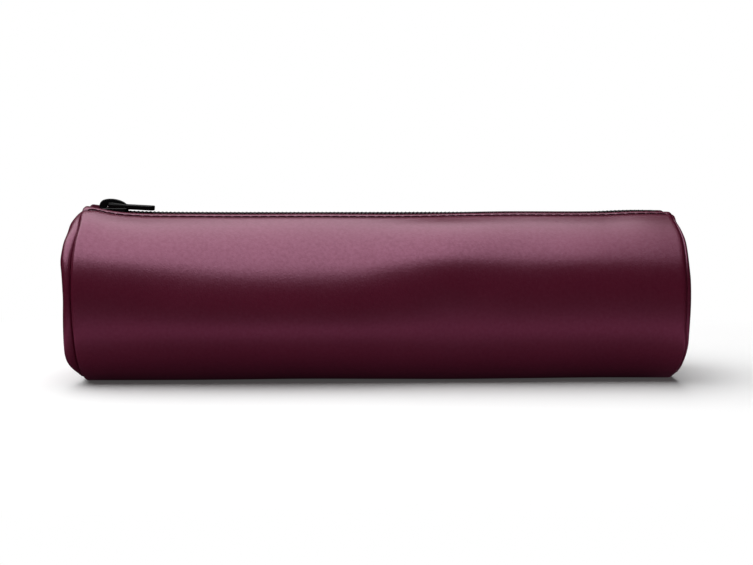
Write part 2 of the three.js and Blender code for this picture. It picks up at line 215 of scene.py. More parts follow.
# %% Settle a point of the tidy tube into the worn one
TABLE_GIVE = 0.5 * MM
LIP_REACH = 1.15
LIP_FULL = 0.25
LIP_FREE = 100 * MM
LIP_HELD = 104 * MM


def settle(point, ground=0.0):
    """Where a point of the tidy tube lies on the worn case, no lower than ground above the table."""
    out, angle = round_case(point)
    share = out / RADIUS
    moved = on_case(end_shape(point[0], angle, share), out + swell(point[0], angle) * share, angle)
    held = ease(abs(point[0]), LIP_HELD, LIP_FREE)
    moved.z += mouth_lift(point[0]) * ease(abs(angle), LIP_REACH, LIP_FULL) * share * share * held
    over = moved.z - ground
    moved.z = ground + (over + math.hypot(over, TABLE_GIVE)) / 2
    return moved


print("mouth lift in mm", [round(mouth_lift(x * MM) / MM, 2) for x in (-97, -60, 0, 60, 97)])

# %% [markdown]
# ## Finishes
# Each finish is a small net of nodes on Object coordinates, or on a map that follows the cloth. A
# helper adds a node, sets its sockets and makes its links in one call.


# %% A helper for nodes
def add_node(tree, kind, inputs=None, **settings):
    """Adds a shader node. An input is a plain value, or another node's output to link."""
    made = tree.nodes.new("ShaderNode" + kind)
    for name, value in settings.items():
        setattr(made, name, value)
    for name, value in (inputs or {}).items():
        if isinstance(value, bpy.types.NodeSocket):
            tree.links.new(value, made.inputs[name])
        else:
            made.inputs[name].default_value = value
    return made


def new_finish(name, **sockets):
    """A material with a Principled shader, its fixed values set on the shader's own sockets."""
    finish = bpy.data.materials.new(name)
    finish.use_nodes = True
    shader = finish.node_tree.nodes["Principled BSDF"]
    for socket, value in sockets.items():
        shader.inputs[socket.replace("_", " ")].default_value = value
    return finish, finish.node_tree, shader


def two_tone(tree, share, dark, light):
    """A colour between two, by a share from 0 to 1."""
    ramp = add_node(tree, "ValToRGB", {"Fac": share})
    ramp.color_ramp.elements[0].color = (*dark, 1)
    ramp.color_ramp.elements[1].color = (*light, 1)
    ramp.color_ramp.elements[0].position = 0.3
    ramp.color_ramp.elements[1].position = 0.7
    return ramp.outputs["Color"]


# %% [markdown]
# ### Leather
# Smooth, finished leather: a dark dye under a satin coat. The colour drifts a little over the hide,
# the coat is rubbed smoother in some places than others, fine flecks take or give a little of its
# shine, and the grain is a fine net of creases that only breaks up the reflections. Voronoi cells
# give the net, and noise gives the pores and the flecks. Along the stitch rows the colour and the
# shine are cut almost to nothing: painted shade in the groove and its needle holes.


# %% Burgundy leather
def make_leather():
    finish, tree, shader = new_finish(
        "burgundy_leather",
        IOR=1.6,
        Specular_Tint=(1.0, 0.47, 0.70, 1.0),
    )
    place = add_node(tree, "TexCoord").outputs["Object"]
    drift = add_node(tree, "TexNoise", {"Vector": place, "Scale": 24.0, "Detail": 4.0})
    dye = two_tone(tree, drift.outputs["Fac"], (0.077, 0.0042, 0.0162), (0.090, 0.0056, 0.0200))
    # Painted shade: along the stitch rows the sewn mask darkens the dye almost to black and cuts the
    # shine, most at the needle holes.
    sewn = add_node(tree, "Attribute", attribute_name="sewn").outputs["Fac"]
    light = add_node(tree, "MapRange", {"Value": sewn, "To Min": 1.0, "To Max": 0.06}).outputs["Result"]
    dye_with_painted_groove_shade = add_node(tree, "VectorMath", {0: dye, "Scale": light}, operation="SCALE")
    tree.links.new(dye_with_painted_groove_shade.outputs["Vector"], shader.inputs["Base Color"])
    shine = add_node(tree, "MapRange", {"Value": sewn, "To Min": 0.9, "To Max": 0.03})
    speck = add_node(tree, "TexNoise", {"Vector": place, "Scale": 900.0, "Detail": 2.0})
    fleck = add_node(
        tree,
        "MapRange",
        {
            "Value": speck.outputs["Fac"],
            "From Min": 0.3,
            "From Max": 0.7,
            "To Min": 0.88,
            "To Max": 1.12,
        },
    )
    level = add_node(
        tree, "Math", {0: shine.outputs["Result"], 1: fleck.outputs["Result"]}, operation="MULTIPLY"
    )
    tree.links.new(level.outputs["Value"], shader.inputs["Specular IOR Level"])
    rub = add_node(tree, "TexNoise", {"Vector": place, "Scale": 70.0, "Detail": 3.0})
    gloss = add_node(tree, "MapRange", {"Value": rub.outputs["Fac"], "To Min": 0.30, "To Max": 0.35})
    tree.links.new(gloss.outputs["Result"], shader.inputs["Roughness"])
    cells = add_node(tree, "TexVoronoi", {"Vector": place, "Scale": 1100.0}, feature="DISTANCE_TO_EDGE")
    pores = add_node(tree, "TexNoise", {"Vector": place, "Scale": 1800.0, "Detail": 3.0})
    grain = add_node(
        tree, "Math", {0: cells.outputs["Distance"], 1: pores.outputs["Fac"]}, operation="MULTIPLY"
    )
    bump = add_node(
        tree, "Bump", {"Height": grain.outputs["Value"], "Strength": 0.45, "Distance": 0.15 * MM}
    )
    tree.links.new(bump.outputs["Normal"], shader.inputs["Normal"])
    return finish


leather = make_leather()

# %% [markdown]
# ### Woven cloth
# The zip tape and the lining are woven, so their pattern has to follow the cloth, not the space
# round it. Each cloth piece gets a map laid out in metres, and two waves across that map, one for
# each set of yarns, give the weave.


# %% Woven cloth
def make_cloth(name, yarn, dark, light, roughness):
    """A plain weave with so many metres from yarn to yarn."""
    finish, tree, shader = new_finish(
        name, Roughness=roughness, Specular_IOR_Level=0.2, Sheen_Weight=0.05
    )
    laid = add_node(tree, "UVMap", uv_map="cloth").outputs["UV"]
    turns = math.pi / yarn / 20
    yarns = [
        add_node(
            tree,
            "TexWave",
            {"Vector": laid, "Scale": turns, "Distortion": 0.4, "Detail Scale": 3.0},
            bands_direction=direction,
        ).outputs["Fac"]
        for direction in ("X", "Y")
    ]
    weave = add_node(tree, "Math", {0: yarns[0], 1: yarns[1]}, operation="MULTIPLY").outputs["Value"]
    tree.links.new(two_tone(tree, weave, dark, light), shader.inputs["Base Color"])
    bump = add_node(tree, "Bump", {"Height": weave, "Strength": 0.5, "Distance": 0.1 * MM})
    tree.links.new(bump.outputs["Normal"], shader.inputs["Normal"])
    return finish


tape_cloth = make_cloth("zip_tape_cloth", 0.5 * MM, (0.006, 0.004, 0.005), (0.014, 0.011, 0.012), 0.8)
lining_cloth = make_cloth("lining_cloth", 0.4 * MM, (0.030, 0.022, 0.025), (0.065, 0.050, 0.055), 0.85)

# %% [markdown]
# ### Nylon, thread and black metal
# The coil is one polished nylon thread, a little soft in its shine. The sewing thread is twisted, so
# slanting bands run along it. The slider is cast metal under black enamel, which is glossy, slightly
# uneven, and thin on the edges.


# %% Nylon, thread and black metal
def make_nylon():
    finish, tree, shader = new_finish("coil_nylon", Specular_IOR_Level=0.45)
    place = add_node(tree, "TexCoord").outputs["Object"]
    drift = add_node(tree, "TexNoise", {"Vector": place, "Scale": 900.0, "Detail": 2.0})
    colour = two_tone(tree, drift.outputs["Fac"], (0.006, 0.005, 0.006), (0.012, 0.010, 0.011))
    tree.links.new(colour, shader.inputs["Base Color"])
    gloss = add_node(tree, "MapRange", {"Value": drift.outputs["Fac"], "To Min": 0.32, "To Max": 0.46})
    tree.links.new(gloss.outputs["Result"], shader.inputs["Roughness"])
    return finish


def make_thread():
    finish, tree, shader = new_finish("sewing_thread", Roughness=0.8, Specular_IOR_Level=0.15)
    place = add_node(tree, "TexCoord").outputs["Object"]
    slant = add_node(tree, "Mapping", {"Vector": place, "Rotation": (0.0, 0.6, 0.7)})
    twist = add_node(tree, "TexWave", {"Vector": slant.outputs["Vector"], "Scale": 420.0})
    colour = two_tone(tree, twist.outputs["Fac"], (0.030, 0.0025, 0.0095), (0.060, 0.005, 0.019))
    tree.links.new(colour, shader.inputs["Base Color"])
    bump = add_node(
        tree, "Bump", {"Height": twist.outputs["Fac"], "Strength": 0.6, "Distance": 0.05 * MM}
    )
    tree.links.new(bump.outputs["Normal"], shader.inputs["Normal"])
    return finish


def make_black_metal():
    finish, tree, shader = new_finish(
        "black_enamelled_metal", Specular_IOR_Level=0.35, Coat_Weight=0.12, Coat_Roughness=0.12
    )
    place = add_node(tree, "TexCoord").outputs["Object"]
    flow = add_node(tree, "TexNoise", {"Vector": place, "Scale": 350.0, "Detail": 3.0})
    worn = add_node(tree, "NewGeometry").outputs["Pointiness"]
    edge = add_node(tree, "MapRange", {"Value": worn, "From Min": 0.56, "From Max": 0.66})
    colour = two_tone(tree, edge.outputs["Result"], (0.004, 0.004, 0.0045), (0.016, 0.016, 0.017))
    tree.links.new(colour, shader.inputs["Base Color"])
    gloss = add_node(tree, "MapRange", {"Value": flow.outputs["Fac"], "To Min": 0.22, "To Max": 0.36})
    tree.links.new(gloss.outputs["Result"], shader.inputs["Roughness"])
    bump = add_node(tree, "Bump", {"Height": flow.outputs["Fac"], "Strength": 0.1, "Distance": 0.1 * MM})
    tree.links.new(bump.outputs["Normal"], shader.inputs["Normal"])
    return finish


coil_nylon = make_nylon()
sewing_thread = make_thread()
black_metal = make_black_metal()
print("finishes", [material.name for material in bpy.data.materials])

# %% [markdown]
# ## The leather body
# One sheet of leather makes the whole tube. Its two long edges are the lips of the mouth, and its
# ends are rolled inwards, where they are sewn to the end discs. A spin of one long line round the
# axis gives exactly such a sheet. The line stands at the front lip and travels under the case to the
# rear lip, in small steps near the lips, where the stitches pull at the leather, and in longer ones
# elsewhere. A Solidify modifier then gives the sheet its thickness.


# %% Helpers for sheets
def new_piece(name, bm, finish):
    """Makes a finished bmesh an object of the case."""
    mesh = bpy.data.meshes.new(name)
    bm.to_mesh(mesh)
    bm.free()
    mesh.materials.append(finish)
    mesh.shade_smooth()
    piece = bpy.data.objects.new(name, mesh)
    bpy.context.collection.objects.link(piece)
    print(name, len(mesh.polygons), "faces")
    return piece


def thicken(piece, thickness, edge=0.0, even=True):
    """Gives a sheet its thickness, half to each side, and rounds its cut edges."""
    wall = piece.modifiers.new("thickness", "SOLIDIFY")
    wall.thickness = thickness
    wall.offset = 0
    wall.use_even_offset = even
    if edge:
        worn = piece.modifiers.new("worn_edge", "BEVEL")
        worn.limit_method = "ANGLE"
        worn.angle_limit = math.radians(50)
        worn.width = edge
        worn.segments = 3


def draw_line(bm, points, angle):
    """A chain of edges through (along, out) points at one angle round the case."""
    chain = [bm.verts.new(on_case(along, out, angle)) for along, out in points]
    return [bm.edges.new(pair) for pair in zip(chain, chain[1:])]


def bend(centre, radius, start, end, steps):
    """Points (along, out) on an arc, with its angles in degrees."""
    turns = [math.radians(start + (end - start) * i / steps) for i in range(steps + 1)]
    return [(centre[0] + radius * math.cos(turn), centre[1] + radius * math.sin(turn)) for turn in turns]


def spin_round(bm, stages, use_merge=False):
    """Spins everything in bm round the case, in stages of (angle, steps)."""
    swept = bm.verts[:] + bm.edges[:]
    for angle, steps in stages:
        swept = bmesh.ops.spin(
            bm,
            geom=swept,
            cent=(0, 0, AXIS_HEIGHT),
            axis=(1, 0, 0),
            angle=angle,
            steps=steps,
            use_merge=use_merge,
        )["geom_last"]


# %% [markdown]
# ### Where the stitches pull
# A row of stitches runs beside each lip. The thread draws the leather into a shallow groove, deepest
# at the needle holes, and the strip between the groove and the lip puffs up, because the edge is
# folded under there. The same measure of the row also paints shade into the leather's colour along
# the groove.

# %% The stitch groove
STITCH_PITCH = 3.07 * MM
STITCH_INSET = 3.0 * MM
GROOVE_DEPTH = 0.35 * MM
GROOVE_WIDTH = 0.6 * MM
ROW_TURN = 2.2 * MM
HEM_PUFF = 0.2 * MM
PUFF_WIDTH = 0.8 * MM
SHOULDER_WIDTH = 1.2 * MM
LIP_ANGLE = math.asin(LIP_Y / (RADIUS - LEATHER / 2))


def row_inset(along):
    """How far from the lip the row runs. It turns away where it meets the left-hand seam."""
    return STITCH_INSET + ROW_TURN * ease(-along, 94.5 * MM, 101.5 * MM)


def sewn(along, angle):
    """1 at a needle hole, less between the holes and 0 away from the row. It sets the groove's depth and
    the painted shade in it.
    """
    arc = (abs(angle) - LIP_ANGLE) * RADIUS
    hole = 0.5 + 0.5 * math.cos(2 * math.pi * along / STITCH_PITCH)
    return (0.7 + 0.3 * hole) * math.exp(-(((arc - row_inset(along)) / GROOVE_WIDTH) ** 4))


def stitch_pull(along, angle):
    """How far the stitches move the wall out or in."""
    arc = (abs(angle) - LIP_ANGLE) * RADIUS
    puff = math.exp(-(((arc - row_inset(along) / 2) / PUFF_WIDTH) ** 2))
    shoulder = math.exp(-(((arc - 1.7 * row_inset(along)) / SHOULDER_WIDTH) ** 2))
    return HEM_PUFF * puff + 0.4 * HEM_PUFF * shoulder - GROOVE_DEPTH * sewn(along, angle)


# %% The body sheet
ROLL = 0.8 * MM
ALLOWANCE = 4 * MM
CUT_EDGE = 0.5 * MM
WALL_OUT = RADIUS - LEATHER / 2
FINE_ARC = 7 * MM


def make_body():
    fine = FINE_ARC / RADIUS
    rest = 2 * math.pi - 2 * (LIP_ANGLE + fine)
    turned_in = [(SEAM_X - ALLOWANCE, WALL_OUT - 2 * ROLL)]
    right = turned_in + bend((SEAM_X, WALL_OUT - ROLL), ROLL, -90, 90, 8)
    left = [(-along, out) for along, out in right]
    bm = bmesh.new()
    line = draw_line(bm, left + right[::-1], LIP_ANGLE)
    wall = max(line, key=lambda edge: edge.calc_length())
    bmesh.ops.subdivide_edges(bm, edges=[wall], cuts=round(4 * wall.calc_length() / STITCH_PITCH))
    spin_round(bm, [(fine, 18), (rest, 104), (fine, 18)])
    # The sewn layer is the mask of the painted shade along the stitch groove.
    shade = bm.verts.layers.float.new("sewn")
    for vert in bm.verts:
        out, angle = round_case(vert.co)
        outside = ease(out, WALL_OUT - ROLL, WALL_OUT)
        pull = stitch_pull(vert.co.x, angle) * outside
        vert[shade] = sewn(vert.co.x, angle) * outside
        vert.co = settle(on_case(vert.co.x, out + pull, angle), LEATHER / 2)
    piece = new_piece("leather_body", bm, leather)
    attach(piece, "case")
    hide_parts("body_panel")
    thicken(piece, LEATHER, CUT_EDGE)


make_body()

# %% [markdown]
# ## The end discs
# Each end is a leather disc whose edge turns into the tube. The two allowances are sewn together
# inside, so outside there is only a sharp crease, with the body's roll on one side and the disc's
# puffed rim on the other. The profile follows the CAD: along the allowance, round the body's roll,
# over the rim and in to the middle. A full spin with merging closes it.

# %% End discs
FACE_X = cad_high[0] - 0.5 * MM - LEATHER / 2
HUG = ROLL + LEATHER + CLEARANCE
RIM = 1.4 * MM
RIM_LEAN = 60
CROWN = 0.5 * MM
WELD = 0.01 * MM


def make_end(side, sign):
    flange_out = WALL_OUT - ROLL - HUG
    hug = bend((SEAM_X, WALL_OUT - ROLL), HUG, -90, -90 + RIM_LEAN, 8)
    rim_centre = (FACE_X - RIM, hug[-1][1] - RIM * math.sin(math.radians(90 + RIM_LEAN)))
    rim = bend(rim_centre, RIM, 90 + RIM_LEAN, 0, 12)
    bm = bmesh.new()
    line = [(SEAM_X - ALLOWANCE, flange_out)] + hug + rim[1:] + [(FACE_X, 0)]
    edges = draw_line(bm, line, 0)
    face = max(edges, key=lambda edge: edge.calc_length())
    bmesh.ops.subdivide_edges(bm, edges=[face], cuts=16)
    spin_round(bm, [(2 * math.pi, 128)], use_merge=True)
    bmesh.ops.remove_doubles(bm, verts=bm.verts, dist=WELD)
    bmesh.ops.recalc_face_normals(bm, faces=bm.faces)
    for vert in bm.verts:
        out, angle = round_case(vert.co)
        crown = CROWN * ease(out, rim_centre[1], 0)
        along = sign * (vert.co.x + (crown if vert.co.x > FACE_X - WELD else 0))
        vert.co = settle(on_case(along, out, angle), LEATHER / 2)
    piece = new_piece(side + "_leather_end", bm, leather)
    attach(piece, "case")
    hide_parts(side + "_end_panel")
    thicken(piece, LEATHER, even=False)


ENDS = (("left", -1), ("right", 1))
for side, sign in ENDS:
    make_end(side, sign)

# %% [markdown]
# ## The lining
# Inside is a thin fabric tube with a fabric disc at each end. It only shows when the zip is open.
# It is made as the leather is, from spun lines, and each face gets its place on the cloth's map.

# %% Lining
LINING = 0.5 * MM
LINING_SETBACK = 1.3 * MM
LINING_STEP = 2.4 * MM
LINING_SLOPE = 3 * MM
LINING_INSET = 5.85 * MM


def lay_cloth(bm, where):
    """Lays the cloth's map, in metres, by where(point)."""
    laid = bm.loops.layers.uv.new("cloth")
    for face in bm.faces:
        for loop in face.loops:
            loop[laid].uv = where(loop.vert.co)


def make_lining():
    out = RADIUS - LEATHER - 0.5 * MM - 2 * CLEARANCE - LINING / 2
    low = out - LINING_STEP
    dip = SEAM_X - ALLOWANCE - LINING
    half = [(SEAM_X, low), (dip, low), (dip - LINING_SLOPE, out)]
    start = math.asin((LIP_Y + LINING_SETBACK) / out)
    bm = bmesh.new()
    line = draw_line(bm, [(-x, r) for x, r in half] + half[::-1], start)
    wall = max(line, key=lambda edge: edge.calc_length())
    bmesh.ops.subdivide_edges(bm, edges=[wall], cuts=60)
    spin_round(bm, [(2 * math.pi - 2 * start, 90)])
    lay_cloth(bm, lambda point: (point.x, out * (round_case(point)[1] % (2 * math.pi))))
    for vert in bm.verts:
        vert.co = settle(vert.co, LEATHER + LINING)
    piece = new_piece("lining_tube", bm, lining_cloth)
    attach(piece, "case")
    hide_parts("body_lining")
    thicken(piece, LINING)


def make_lining_end(side, sign):
    out = RADIUS - LINING_INSET
    x = FACE_X - (LEATHER + LINING) / 2 - CLEARANCE
    bm = bmesh.new()
    corner = bend((x - MM, out - MM), MM, 90, 0, 4)
    edges = draw_line(bm, [(SEAM_X - ALLOWANCE, out)] + corner + [(x, 0)], 0)
    face = max(edges, key=lambda edge: edge.calc_length())
    bmesh.ops.subdivide_edges(bm, edges=[face], cuts=6)
    spin_round(bm, [(2 * math.pi, 64)], use_merge=True)
    bmesh.ops.remove_doubles(bm, verts=bm.verts, dist=WELD)
    bmesh.ops.recalc_face_normals(bm, faces=bm.faces)
    lay_cloth(bm, lambda point: (point.y, point.z))
    for vert in bm.verts:
        vert.co = settle((sign * vert.co.x, vert.co.y, vert.co.z), LEATHER + LINING)
    piece = new_piece(side + "_lining_end", bm, lining_cloth)
    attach(piece, "case")
    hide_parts(side + "_end_lining")
    thicken(piece, LINING)


make_lining()
for side, sign in ENDS:
    make_lining_end(side, sign)

# %% [markdown]
# ## The zip tapes
# Each tape is a woven strip. Its outer part is sewn under the leather and follows the wall; its
# inner part, the web, crosses the mouth and carries the coil. When the zip opens, the web folds up
# about the lip, but both its ends are sewn in and stay down. A fold can only fade out at one end of
# a piece, so the web and everything on it is made in two lengths that meet in the middle.

# %% Tapes
TAPE = 0.5 * MM
TAPE_WIDTH = 13 * MM
TAPE_ROUND = 0.15 * MM
TAPE_EDGE = tape_low[1]
WEB_HEIGHT = tape_high[2] - TAPE / 2
SLIDER_LENGTH = 10.5 * MM
COIL_SPREAD = 1.55 * MM
FOLDS = {"left": (-98.5 * MM, -78 * MM), "right": (85.5 * MM, 45 * MM)}

slider_low, slider_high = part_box("slider_body")
SLIDER_X = (slider_low[0] + slider_high[0]) / 2


def coil_spread(along):
    """How far the slider holds each coil away from the closed chain."""
    behind = SLIDER_X + SLIDER_LENGTH / 7 - along
    return COIL_SPREAD * ease(behind, 0, SLIDER_LENGTH / 2)


def fold_with_chain(piece):
    """Bakes the piece's place into its mesh."""
    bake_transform(piece)


def make_margin(half, sign):
    reach = SEAM_X - ALLOWANCE - CLEARANCE
    out = RADIUS - LEATHER - CLEARANCE - TAPE / 2
    start = math.asin(LIP_Y / out)
    bm = bmesh.new()
    draw_line(bm, [(-reach, out), (reach, out)], -sign * start)
    bmesh.ops.subdivide_edges(bm, edges=bm.edges[:], cuts=60)
    spin_round(bm, [(-sign * (TAPE_WIDTH - LIP_Y + TAPE_EDGE) / out, 8)])
    lay_cloth(bm, lambda point: (point.x, out * round_case(point)[1]))
    for vert in bm.verts:
        vert.co = settle(vert.co)
    margin = new_piece(half + "_tape_margin", bm, tape_cloth)
    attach(margin, "case")
    thicken(margin, TAPE)


def make_web(half, sign, end):
    bm = bmesh.new()
    halfway = TAPE_END / 2 if end == "right" else -TAPE_END / 2
    middle = Matrix.Translation((halfway, sign * (LIP_Y + TAPE_EDGE) / 2, WEB_HEIGHT))
    size = Matrix.Diagonal((TAPE_END / 2, (LIP_Y - TAPE_EDGE) / 2, 1, 1))
    bmesh.ops.create_grid(bm, x_segments=100, y_segments=6, size=1, matrix=middle @ size)
    lay_cloth(bm, lambda point: (point.x, point.y))
    for vert in bm.verts:
        along = vert.co.x
        inward = (LIP_Y - abs(vert.co.y)) / (LIP_Y - TAPE_EDGE)
        level = chain_lift(along)
        # Beyond the bottom stop the edges of the two tapes are sewn together.
        closed = (TAPE_EDGE - 0.05 * MM) * ease(along, 95 * MM, 97 * MM)
        vert.co.y += sign * (coil_spread(along) * 0.8 - closed) * inward
        vert.co.z += level + (mouth_lift(along) - level) * (1 - inward) ** 3
    web = new_piece(half + "_tape_web_" + end, bm, tape_cloth)
    if end == "left":
        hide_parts(half + "_zip_tape")
    fold_with_chain(web)
    thicken(web, TAPE, TAPE_ROUND)


SIDES = (("front", -1), ("rear", 1))
for half, sign in SIDES:
    make_margin(half, sign)
for half, sign in SIDES:
    for end in FOLDS:
        make_web(half, sign, end)

# %% [markdown]
# ## The coils
# The teeth of this zip are one nylon thread on each tape, wound into a flattened coil. Every turn
# runs out over the top to a head, which locks between two heads of the other coil, dives, and comes
# back underneath to its heel. Twelve points describe a turn, a loop repeats it, and a curve with a
# round bevel gives the thread its body. The curve is then made a mesh, because a fold can only bend
# a mesh. The two lengths of a coil meet on its underside, where the joint doesn't show.

# %% One turn of the coil, in shares of the pitch and in millimetres
WIRE = 0.5 * MM
COIL_TURN = [
    (0.00, 1.60, 0.50),
    (0.06, 0.45, 0.50),
    (0.10, 0.02, 0.47),
    (0.13, -0.16, 0.30),
    (0.15, -0.20, 0.00),
    (0.17, -0.16, -0.30),
    (0.20, 0.02, -0.47),
    (0.26, 0.45, -0.50),
    (0.42, 1.60, -0.50),
    (0.52, 1.96, -0.32),
    (0.64, 2.05, 0.00),
    (0.78, 1.96, 0.32),
]
COIL_HEIGHT = (coil_low[2] + coil_high[2]) / 2
COIL_END = coil_high[0]
TURNS = 137
UNDERSIDE = 7
COIL_PITCH = (2 * COIL_END - WIRE) / (TURNS + 0.5)


# %% A thread along runs of points
def wound_tube(name, runs, diameter, finish):
    """A thread of round section along each run of points, as one mesh."""
    curve = bpy.data.curves.new(name + "_line", "CURVE")
    curve.dimensions = "3D"
    curve.bevel_depth = diameter / 2
    curve.bevel_resolution = 1
    curve.use_fill_caps = True
    for run in runs:
        spline = curve.splines.new("POLY")
        spline.points.add(len(run) - 1)
        for point, place in zip(spline.points, run):
            point.co = (*place, 1)
    wire = bpy.data.objects.new(name + "_wire", curve)
    bpy.context.collection.objects.link(wire)
    mesh = bpy.data.meshes.new_from_object(wire.evaluated_get(bpy.context.evaluated_depsgraph_get()))
    bpy.data.objects.remove(wire)
    bpy.data.curves.remove(curve)
    bm = bmesh.new()
    bm.from_mesh(mesh)
    bpy.data.meshes.remove(mesh)
    bmesh.ops.recalc_face_normals(bm, faces=bm.faces)
    return new_piece(name, bm, finish)


# %% Coils
def in_chain(along, across, height, sign):
    """A point of a coil, spread by the slider and hung with the mouth."""
    return Vector(
        (along, sign * (across + coil_spread(along)), COIL_HEIGHT + height + chain_lift(along))
    )


def make_coil(half, sign, shift):
    first = -COIL_END + WIRE / 2 + shift * COIL_PITCH
    run = [
        in_chain(first + (i + along) * COIL_PITCH, across * MM, height * MM, sign)
        for i in range(TURNS)
        for along, across, height in COIL_TURN
    ]
    cut = len(COIL_TURN) * (TURNS // 2) + UNDERSIDE
    for end, part in (("left", run[: cut + 1]), ("right", run[cut:])):
        coil = wound_tube(half + "_coil_" + end, [part], WIRE, coil_nylon)
        fold_with_chain(coil)
    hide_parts(half + "_zip_coil")


# %% [markdown]
# ### The sewing of the coils
# Two rows of black thread hold each coil on its tape. They lie over the turns and dip between them,
# which is what gives a closed coil zip its ribbed look. The rear half is made half a turn further
# along than the front half, so that its heads fall between the others.

# %% The coils' sewing
SEWING = 0.24 * MM
SEWING_ROWS = (1.05, 1.6)
SEWING_DIP = (0.02 * MM, -0.25 * MM)
tape_thread = tape_cloth.copy()
tape_thread.name = "zip_tape_thread"


def make_coil_sewing(half, sign, shift):
    first = -COIL_END + WIRE / 2 + shift * COIL_PITCH
    top = (coil_high[2] - coil_low[2]) / 2
    rows = [
        [
            in_chain(first + i * COIL_PITCH / 2, across * MM, top + SEWING_DIP[i % 2], sign)
            for i in range(2 * TURNS)
        ]
        for across in SEWING_ROWS
    ]
    lengths = {"left": [row[: TURNS + 1] for row in rows], "right": [row[TURNS:] for row in rows]}
    for end, parts in lengths.items():
        sewing = wound_tube(half + "_coil_sewing_" + end, parts, SEWING, tape_thread)
        fold_with_chain(sewing)


for half, sign, shift in (("front", -1, 0), ("rear", 1, 0.5)):
    make_coil(half, sign, shift)
    make_coil_sewing(half, sign, shift)

# %% [markdown]
# ## The stitches
# Two rows of stitches hold the leather to the tapes. Each visible stitch is a short run of thread
# that comes up through one needle hole, arches over the groove and goes down through the next.

# %% Stitches
THREAD = 0.5 * MM
STITCH_ARCH = [(-0.5, -0.4), (-0.45, -0.1), (-0.25, 0.06), (0.25, 0.06), (0.45, -0.1), (0.5, -0.4)]


def make_stitches(half, sign):
    count = math.floor((SEAM_X + MM) / STITCH_PITCH)
    runs = []
    for i in range(-count, count):
        middle = (i + 0.5) * STITCH_PITCH
        run = []
        for share, rise in STITCH_ARCH:
            along = middle + share * STITCH_PITCH
            angle = -sign * (LIP_ANGLE + row_inset(along) / RADIUS)
            run.append(settle(on_case(along, RADIUS + rise * MM, angle)))
        runs.append(run)
    piece = wound_tube(half + "_stitches", runs, THREAD, sewing_thread)
    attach(piece, "case")


for half, sign in SIDES:
    make_stitches(half, sign)

# %% [markdown]
# ## The slider
# The slider is a small casting: two plates joined by a wedge, rails that keep the coils in, and an
# arched bridge that carries the tab. Each block starts as a flat outline, is extruded to its
# thickness and gets its cast edges from a bevel.

# %% Helpers for castings
CAST_EDGE = 0.2 * MM


def verts_of(parts):
    """The vertices among the parts that an operator gives back."""
    return [part for part in parts if isinstance(part, bmesh.types.BMVert)]


def round_edges(bm, edge, sharp=0.7):
    """Rounds every edge that is sharper than so many radians."""
    edges = [line for line in bm.edges if len(line.link_faces) == 2 and line.calc_face_angle() > sharp]
    bmesh.ops.bevel(
        bm,
        geom=edges,
        offset=edge,
        offset_type="OFFSET",
        affect="EDGES",
        segments=3,
        profile=0.5,
        material=-1,
        clamp_overlap=True,
    )


def cast_block(outline, low, high, edge=CAST_EDGE):
    """A flat outline of (x, y) points raised from low to high, with round edges."""
    bm = bmesh.new()
    base = bm.faces.new([bm.verts.new((x, y, low)) for x, y in outline])
    grown = bmesh.ops.extrude_face_region(bm, geom=[base])["geom"]
    bmesh.ops.translate(bm, vec=(0, 0, high - low), verts=verts_of(grown))
    bmesh.ops.recalc_face_normals(bm, faces=bm.faces)
    round_edges(bm, edge)
    return bm


def join_castings(name, blocks, place, body, node):
    """Joins blocks into one piece at its place, on its body."""
    whole = bmesh.new()
    for block in blocks:
        mesh = bpy.data.meshes.new("block")
        block.to_mesh(mesh)
        block.free()
        whole.from_mesh(mesh)
        bpy.data.meshes.remove(mesh)
    bmesh.ops.transform(whole, matrix=place, verts=whole.verts)
    piece = new_piece(name, whole, black_metal)
    piece.data.set_sharp_from_angle(angle=math.radians(50))
    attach(piece, body)
    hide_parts(node)


# %% The slider's outlines
FLANGE = 0.65 * MM
CHAIN_HALF = 2.3 * MM
SHOULDER_ROUND = 1.6 * MM
TAIL_ROUND = 0.8 * MM
FLANK_STEP = 0.9 * MM


def channel_half(x):
    """Half the width of the way that the coils take through the slider."""
    return CHAIN_HALF + coil_spread(SLIDER_X + x) + CLEARANCE


def slider_outline():
    """The plates from above: wide shoulders at the left and a narrow tail at the right."""
    front, back = -SLIDER_LENGTH / 2, SLIDER_LENGTH / 2
    wide, slim = channel_half(front) + FLANGE, channel_half(back) + FLANGE
    shoulder = bend((front + SHOULDER_ROUND, wide - SHOULDER_ROUND), SHOULDER_ROUND, 180, 90, 6)
    flank = [front + SHOULDER_ROUND + i * FLANK_STEP for i in range(1, 9)]
    tail = bend((back - TAIL_ROUND, slim - TAIL_ROUND), TAIL_ROUND, 90, 0, 4)
    side = shoulder + [(x, channel_half(x) + FLANGE) for x in flank] + tail
    return [(x, -y) for x, y in side] + side[::-1]


# %% The bridge
PLATE = 0.7 * MM
BRIDGE_WIDTH = 1.6 * MM
BRIDGE_BAR = 1.4 * MM
BRIDGE_HEEL = 2.6 * MM
BRIDGE_HALF = 4.95 * MM
BRIDGE_HEIGHT = 3.25 * MM


def ring(bm, outline):
    """A closed loop of edges through (x, y) points."""
    loop = [bm.verts.new((x, y, 0)) for x, y in outline]
    return [bm.edges.new(pair) for pair in zip(loop, loop[1:] + loop[:1])]


def cast_eye(outline, hole, thickness, edge):
    """A flat casting with a hole in it, its middle plane at height 0."""
    bm = bmesh.new()
    edges = ring(bm, outline) + ring(bm, hole)
    flat = bmesh.ops.triangle_fill(bm, use_beauty=True, use_dissolve=True, edges=edges)["geom"]
    faces = [part for part in flat if isinstance(part, bmesh.types.BMFace)]
    grown = bmesh.ops.extrude_face_region(bm, geom=faces)["geom"]
    bmesh.ops.translate(bm, vec=(0, 0, thickness), verts=verts_of(grown))
    bmesh.ops.translate(bm, vec=(0, 0, -thickness / 2), verts=bm.verts)
    bmesh.ops.recalc_face_normals(bm, faces=bm.faces)
    round_edges(bm, edge)
    return bm


